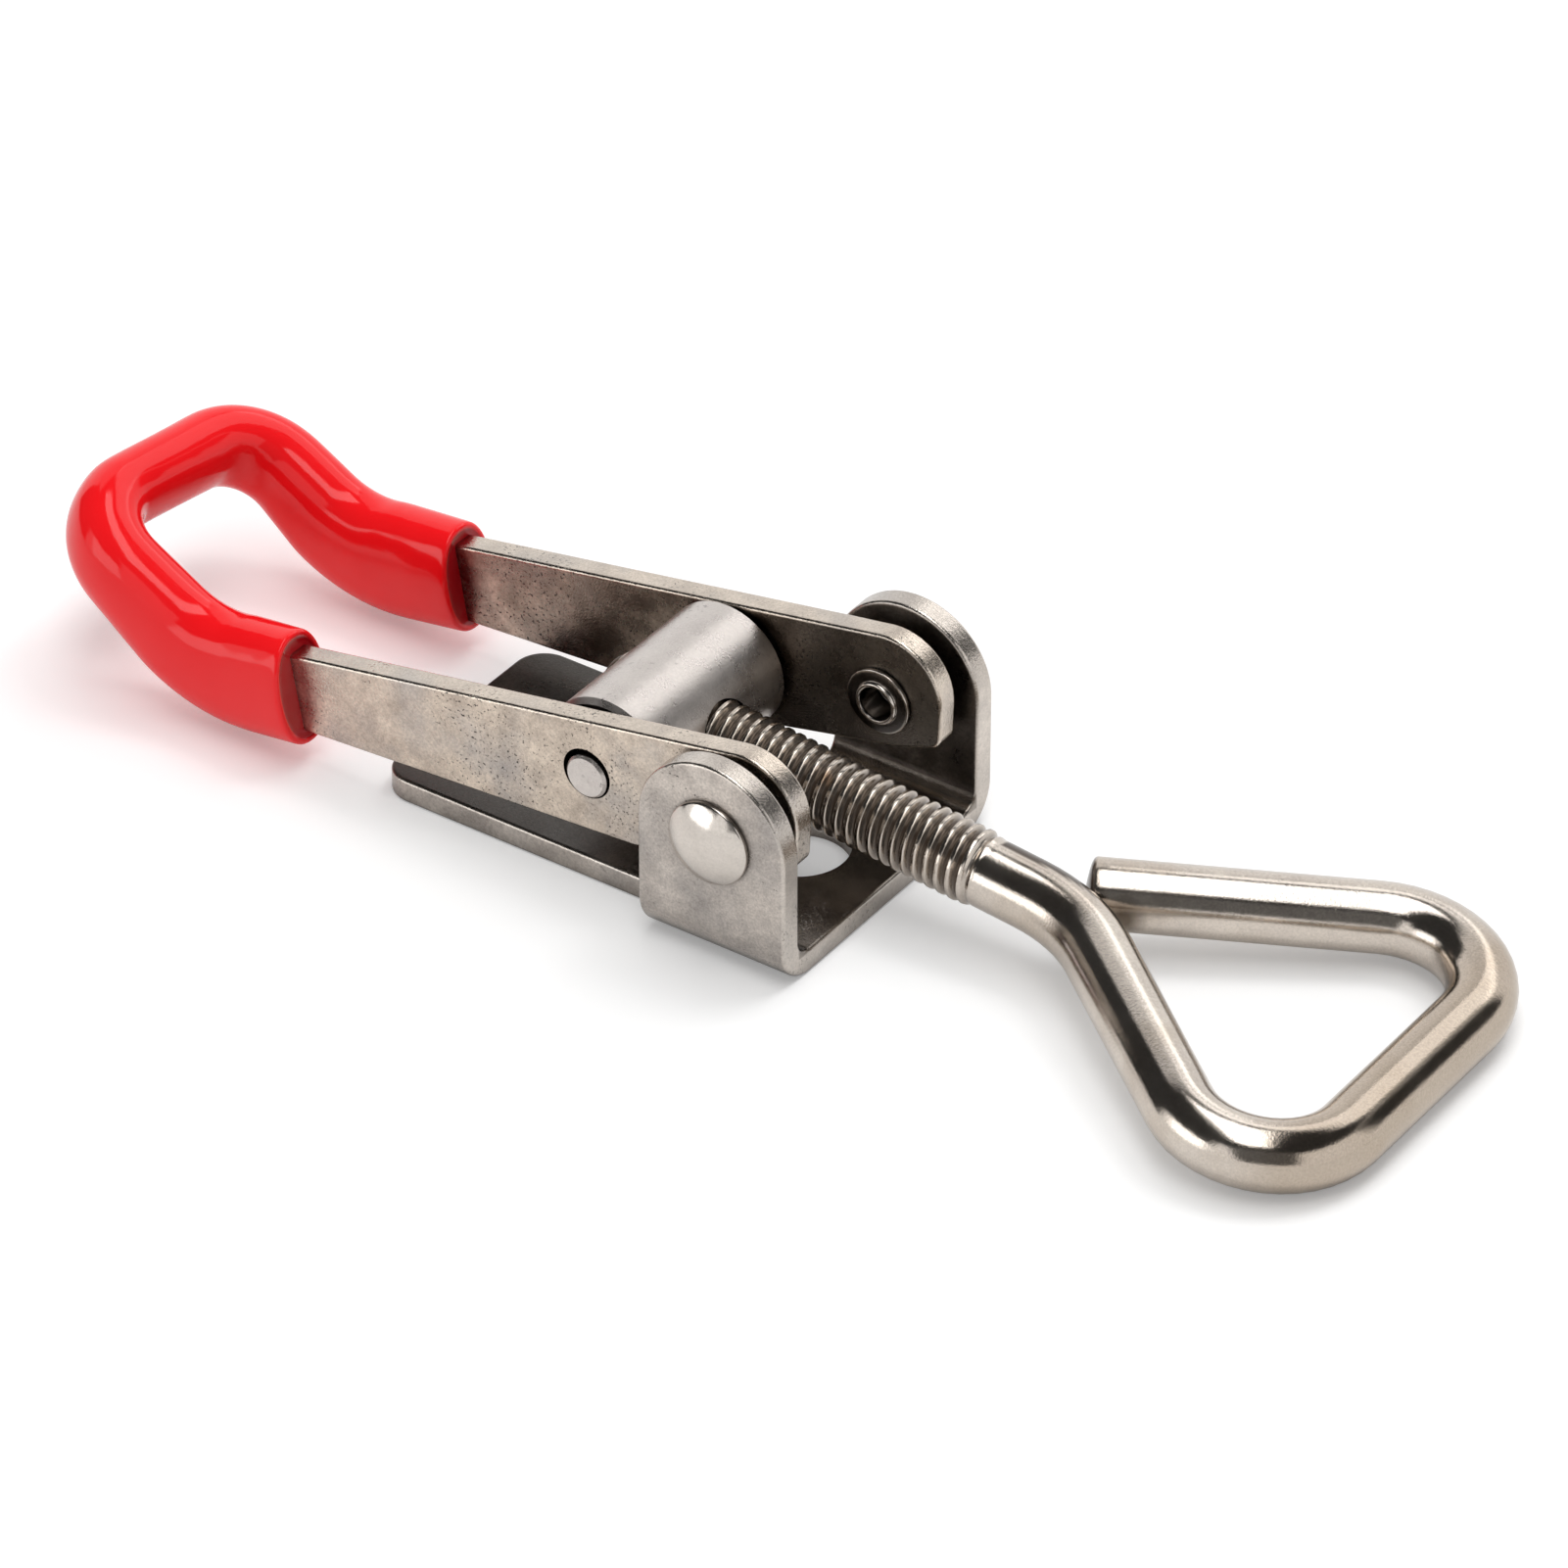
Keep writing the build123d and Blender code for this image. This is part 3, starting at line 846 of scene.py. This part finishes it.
rim = push(bolt, rim, cut_end - place)
bmesh.ops.bridge_loops(bolt, edges=open_rim(bolt, thread_ahead) + first_rim)
print("wire and thread", len(bolt.faces), "faces")

# %% The two ends of the wire
tail_rim = open_rim(bolt, -thread_tail)
bmesh.ops.edgeloop_fill(bolt, edges=tail_rim)


def shrink_rim(bm, rim, scale, move):
    """Carry a ring on by a small step and draw it in towards its own centre."""
    made = bmesh.ops.extrude_edge_only(bm, edges=rim)["geom"]
    rim = rim_of(made)
    verts = points_of(rim)
    centre = sum((vert.co for vert in verts), Vector()) / len(verts)
    bmesh.ops.translate(bm, verts=verts, vec=move)
    bmesh.ops.scale(bm, verts=verts, vec=(scale, scale, scale),
                    space=Matrix.Translation(-(centre + move)))
    return rim


end_way = runs[-1]
sheared_steps = ((0.985, 0.10), (0.95, 0.14), (0.86, 0.16), (0.72, 0.14), (0.6, 0.10),
                 (0.5, 0.06))
for scale, forward in sheared_steps:
    rim = shrink_rim(bolt, rim, scale, end_way * forward)
bmesh.ops.edgeloop_fill(bolt, edges=rim)
bmesh.ops.recalc_face_normals(bolt, faces=bolt.faces)
print("closed wire", len(bolt.faces), "faces")

# %% Where dirt and painted shade go
brown_depth = 0.3
root_starts, root_gain = 0.3, 1.4
just_past_thread = thread_ahead + 0.1
beside_shank = 0.5
for vert in bolt.verts:
    deep = (crest_radius - hypot(vert.co.x, vert.co.y)) / (crest_radius - root_radius)
    threaded = 1.0 - run_out(vert.co.z)
    sheared = (vert.co - cut_end).dot(end_way)
    if vert.co.z < just_past_thread:
        # Thread roots are marked to be painted near black: shade of the grooves, and grease.
        vert[dirt_and_shade] = threaded * smooth((deep - root_starts) * root_gain)
    elif vert.co.x > beside_shank and sheared > 0.0:
        vert[dirt_and_shade] = smooth(sheared / brown_depth)
print("dirty points:", sum(vert[dirt_and_shade] > 0.5 for vert in bolt.verts))

# %% [markdown]
# Drawn wire is bright, but its thread roots are painted near black, as painted shade of the
# grooves and as grease, and a sheared end turns brown. Both are painted from the
# "dirt_and_shade" marks made above. The far side of the loop has rubbed on a hook, so it is
# stained and duller than the rest. Corners and gaps are painted dark as shade.

# %% Drawn wire
def spot_at(tree, coords, centre, radius):
    """1 inside a ball round a place on the piece, in millimetres, fading to 0 at its rim."""
    away = add(tree, "VectorMath")
    away.operation = "DISTANCE"
    join(tree, coords, "Object", away, 0)
    away.inputs[1].default_value = [side * mm for side in centre]
    return ramp(tree, away, "Value", 0.3 * radius * mm, radius * mm, 1.0, 0.0)


rubbed_from, rubbed_full = 0.0585, 0.0625
hook_stain = (0.46, 0.375, 0.29)
wire_steel, wire_tree, wire_shader, wire_coords = new_finish("wire_steel")
wire_skin = place_group(wire_tree, skin, wire_coords, Pit_Patch=0.62, Cloud_Size=200.0)
wire_tone = blend(wire_tree, (wire_skin, "Cloud"), (0.60, 0.535, 0.475), (0.71, 0.64, 0.565))
wire_spot = add(wire_tree, "SeparateXYZ")
join(wire_tree, wire_coords, "Object", wire_spot, 0)
far_side = ramp(wire_tree, wire_spot, "X", rubbed_from, rubbed_full)
far_stain = ramp(wire_tree, wire_skin, "Stain", 0.0, 1.0, 0.70, 1.0)
rubbed = combine(wire_tree, "MULTIPLY", (far_stain, 0), (far_side, 0))
freckle = combine(wire_tree, "MULTIPLY", (wire_skin, "Stain"), 0.45)
browned = combine(wire_tree, "MAXIMUM", (rubbed, 0), (freckle, 0))
wire_tone = blend(wire_tree, (browned, 0), (wire_tone, MIXED), hook_stain)
wire_tone = mottle(wire_tree, wire_skin, wire_tone, 0.84, 1.10)
print("drawn wire:", len(wire_tree.nodes), "nodes")

# %% Painted shade, dirt and rust on the wire
# Colour of the painted shade in the wire's gaps and corners.
wire_gap_shade = (0.07, 0.05, 0.04)
dirt_and_shade_colour = (0.075, 0.052, 0.036)
# Painted shade where the wire nearly touches itself and in its corners.
wire_gap_shade_amount = combine(wire_tree, "MULTIPLY", (gap_shade_mask(wire_tree, reach=0.0012), 0), 0.5)
wire_tone = blend(wire_tree, (wire_gap_shade_amount, 0), (wire_tone, MIXED), wire_gap_shade)
marked = add(wire_tree, "Attribute")
marked.attribute_name = "dirt_and_shade"
# Near black in the thread roots is painted shade and grease; the sheared end turns brown.
wire_tone = blend(wire_tree, (marked, "Fac"), (wire_tone, MIXED), dirt_and_shade_colour)
# where in mm, radius in mm, colour
rust_spots = (((5.8, -1.0, 12.7), 1.1, (0.42, 0.17, 0.06)),
              ((14.4, -1.8, 10.9), 1.3, (0.30, 0.15, 0.05)),
              ((16.9, -1.7, 11.0), 1.2, (0.30, 0.17, 0.06)),
              ((37.4, 3.4, 4.4), 2.0, (0.10, 0.07, 0.045)))
for centre, radius, colour in rust_spots:
    rusty = spot_at(wire_tree, wire_coords, centre, radius)
    patchy = combine(wire_tree, "MULTIPLY", (rusty, 0), 0.85)
    wire_tone = blend(wire_tree, (patchy, 0), (wire_tone, MIXED), colour)
bare_metal(wire_tree, wire_shader, wire_skin, wire_tone, (0.08, 0.16), 0.000005)
metal_left = ramp(wire_tree, marked, "Fac", 0.0, 1.0, 1.0, 0.45)
join(wire_tree, metal_left, 0, wire_shader, "Metallic")

finish_piece("bent_wire_bolt", bolt, to_latch, wire_steel, "bolt", ["eye_bolt"])

# %% [markdown]
# ## The red sleeve
# The sleeve is a soft vinyl tube pushed over the lever, so it follows the strip's bends, thins
# over the crossbar and stands open at both ends. Its two mouths don't stand level, because it
# was pushed on by hand. A tube drawn along a curve would keep one section. Here a ring is
# carried from frame to frame instead, and each frame has its own width and height, so the tube
# can change from a flat slot to nearly round.

# %% Sizes of the sleeve
sleeve_low, sleeve_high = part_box("grip_sleeve")
half_sheet = 1.0
arm_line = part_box("lever")[1].y / mm - half_sheet
heel = Vector((pivot_x - 49.0, 0, 5.1))
crossbar = Vector((pivot_x - 61.45, 0, 12.1))
elbow_up = 4.8
climb = (crossbar - heel).normalized()
climb_up = climb.cross(Vector((0, -1, 0)))
fold_radius = 5.4
crossbar_skew = 1.0
thicker = 0.22
sweep = 11.0
mouth_wide, mouth_slack = 6.1, 0.35
elbow_start, elbow_end = (6.3, 9.4), (5.9, 8.4)
fold_start_size, fold_end_size = (5.7, 7.4), (5.5, 7.0)
crossbar_size = (5.4, 6.9)
print("sleeve from", round(sleeve_low.x / mm, 1), "to", round(sleeve_high.x / mm, 1), "mm")

# %% Where the rings stand
def between(first, last, part):
    """Width and height part of the way from one station to the next."""
    return [a + (b - a) * part for a, b in zip(first, last)]


def ring_place(origin, across, along, wide, tall):
    """Where a ring stands, and how wide and tall it is."""
    along = along.normalized()
    across = (across - along * across.dot(along)).normalized()
    turn = Matrix((across, along.cross(across), along)).transposed().to_4x4()
    return Matrix.Translation(origin) @ turn @ Matrix.Diagonal((wide / 2, tall / 2, 1.0, 1.0))


print("a ring's place, width and height are one matrix")

# %% Half of the sleeve
def sleeve_side(side, mouth_behind, mouth_up, mouth_tall, outward):
    """Ring places of one half, from its mouth to the middle of the crossbar."""
    inward = Vector((0, -side, 0))
    beside = side * (arm_line + outward)
    corner = Vector((heel.x, beside, elbow_up))
    mouth = Vector((pivot_x - mouth_behind, beside, mouth_up))
    along = (corner - mouth).normalized()
    turn_angle = along.angle(climb)
    back = sweep * tan(turn_angle / 2)
    axis = along.cross(climb).normalized()
    turn_start = corner - along * back
    turn_centre = turn_start + axis.cross(along) * sweep
    places = []
    for step in range(5):
        part = step / 5
        loose = Vector((0, -mouth_slack * (1 - part), 0))
        places.append((mouth + (turn_start - mouth) * part + loose, inward, along,
                       *between((mouth_wide, mouth_tall), elbow_start, part)))
    for step in range(7):
        part = step / 6
        turned = Matrix.Rotation(turn_angle * part, 3, axis)
        spot = turn_centre + turned @ (turn_start - turn_centre)
        places.append((spot, inward, turned @ along, *between(elbow_start, elbow_end, part)))
    fold_start = (crossbar - climb * (fold_radius + side * crossbar_skew / 2)
                  + Vector((0, beside, 0)))
    rise_start = corner + climb * back
    for step in range(1, 5):
        part = step / 5
        places.append((rise_start + (fold_start - rise_start) * part + climb_up * thicker * part,
                       inward, climb, *between(elbow_end, fold_start_size, part)))
    centre = fold_start + inward * fold_radius
    fold_axis = climb.cross(inward).normalized()
    for step in range(9):
        part = step / 8
        turned = Matrix.Rotation(pi / 2 * part, 3, fold_axis)
        places.append((centre + turned @ (fold_start - centre) + climb_up * thicker,
                       turned @ inward, turned @ climb,
                       *between(fold_start_size, fold_end_size, part)))
    return places


near_half = sleeve_side(-1, mouth_behind=40.5, mouth_up=6.35, mouth_tall=9.4, outward=0.0)
far_half = sleeve_side(1, mouth_behind=38.9, mouth_up=6.5, mouth_tall=9.0, outward=0.2)
print("rings:", len(near_half), "on the near side,", len(far_half), "on the far side")

# %% The whole row of rings
places = [ring_place(*ring) for ring in near_half]
places.append(ring_place(crossbar + climb_up * thicker, -climb, Vector((0, 1, 0)),
                         *crossbar_size))
for spot, across, way, wide, tall in reversed(far_half):
    places.append(ring_place(spot, across, -way, wide, tall))
print("sleeve rings:", len(places))

# %% The sleeve's tube
fullness = 0.88


def carry(bm, rim, old, new):
    """Extrude a ring and move it from its old place to the new one."""
    made = bmesh.ops.extrude_edge_only(bm, edges=rim)["geom"]
    rim = rim_of(made)
    bmesh.ops.transform(bm, matrix=new @ old.inverted(), verts=points_of(rim))
    return rim


def stadium(vert):
    """Turn a round ring into one with two flats and round ends."""
    x, y = vert.co.x, vert.co.y
    vert.co.x = (1 if x > 0 else -1) * abs(x) ** fullness
    vert.co.y = (1 if y > 0 else -1) * abs(y) ** fullness


tube = bmesh.new()
mouth_mark = tube.verts.layers.float.new("mouth")
made = bmesh.ops.create_circle(tube, segments=32, radius=1.0)
for vert in made["verts"]:
    stadium(vert)
ring_verts = made["verts"]
bmesh.ops.transform(tube, matrix=places[0], verts=ring_verts)
near_rim = [edge for edge in tube.edges]
rim = list(near_rim)
for old, new in zip(places, places[1:]):
    rim = carry(tube, rim, old, new)
far_rim = rim
print("sleeve tube", len(tube.faces), "faces")

# %% The sleeve's open ends
lip_steps = ((0.18, 0.05), (0.32, 0.16), (0.37, 0.30), (0.34, 0.44), (0.27, 0.58),
             (0.22, 0.80), (0.20, 1.20), (0.20, 1.9))
dish_below, dish_inside = 0.3, 0.5


def roll_lip(bm, rim, place, way):
    """Roll a mouth's rim inwards, close it round the arm a little dished, and mark the dish."""
    half_wide, half_tall = place.col[0].xyz.length, place.col[1].xyz.length
    old = place
    for out, thinner in lip_steps:
        new = (Matrix.Translation(way * out) @ place
               @ Matrix.Diagonal((1 - thinner / half_wide, 1 - thinner / half_tall, 1.0, 1.0)))
        rim = carry(bm, rim, old, new)
        old = new
        if out < dish_below and thinner > dish_inside:
            for vert in points_of(rim):
                vert[mouth_mark] = 1.0
    bmesh.ops.edgeloop_fill(bm, edges=rim)


near_way = -(places[1].translation - places[0].translation).normalized()
far_way = (places[-1].translation - places[-2].translation).normalized()
roll_lip(tube, near_rim, places[0], near_way)
roll_lip(tube, far_rim, places[-1], far_way)
bmesh.ops.recalc_face_normals(tube, faces=tube.faces)
print("closed sleeve", len(tube.faces), "faces")

# %% [markdown]
# ## Red vinyl
# Dipped vinyl is glossy and a little uneven, so its highlights are long and soft edged. The
# colour is deep and plain. What shows is the gloss, so the roughness is low and only a faint
# wave in the surface bends the reflections. The dished ends see less light, so the mark made
# on them above darkens them with painted shade.

# %% Red vinyl
red_vinyl, vinyl_tree, vinyl_shader, vinyl_coords = new_finish("red_vinyl")
vinyl_waves = add(vinyl_tree, "TexNoise", Scale=160.0, Detail=2.0)
join(vinyl_tree, vinyl_coords, "Object", vinyl_waves, "Vector")
vinyl_colour = blend(vinyl_tree, (vinyl_waves, "Fac"), (0.90, 0.006, 0.010),
                     (0.97, 0.012, 0.016))
# Painted shade: the dished ends of the sleeve are a darker red.
vinyl_mouth = add(vinyl_tree, "Attribute")
vinyl_mouth.attribute_name = "mouth"
vinyl_colour = blend(vinyl_tree, (vinyl_mouth, "Fac"), (vinyl_colour, MIXED),
                     (0.42, 0.003, 0.008))
join(vinyl_tree, vinyl_colour, MIXED, vinyl_shader, "Base Color")
vinyl_bump = add(vinyl_tree, "Bump", Strength=1.0, Distance=0.00015)
join(vinyl_tree, vinyl_waves, "Fac", vinyl_bump, "Height")
join(vinyl_tree, vinyl_bump, 0, vinyl_shader, "Normal")
vinyl_shader.inputs["Roughness"].default_value = 0.11
vinyl_shader.inputs["Specular IOR Level"].default_value = 0.34
sleeve = finish_piece("red_vinyl_sleeve", tube, Matrix.Scale(mm, 4), red_vinyl, "handle",
                      ["grip_sleeve"])
rounding = sleeve.modifiers.new("rounding", "SUBSURF")
rounding.levels = 2
rounding.render_levels = 2
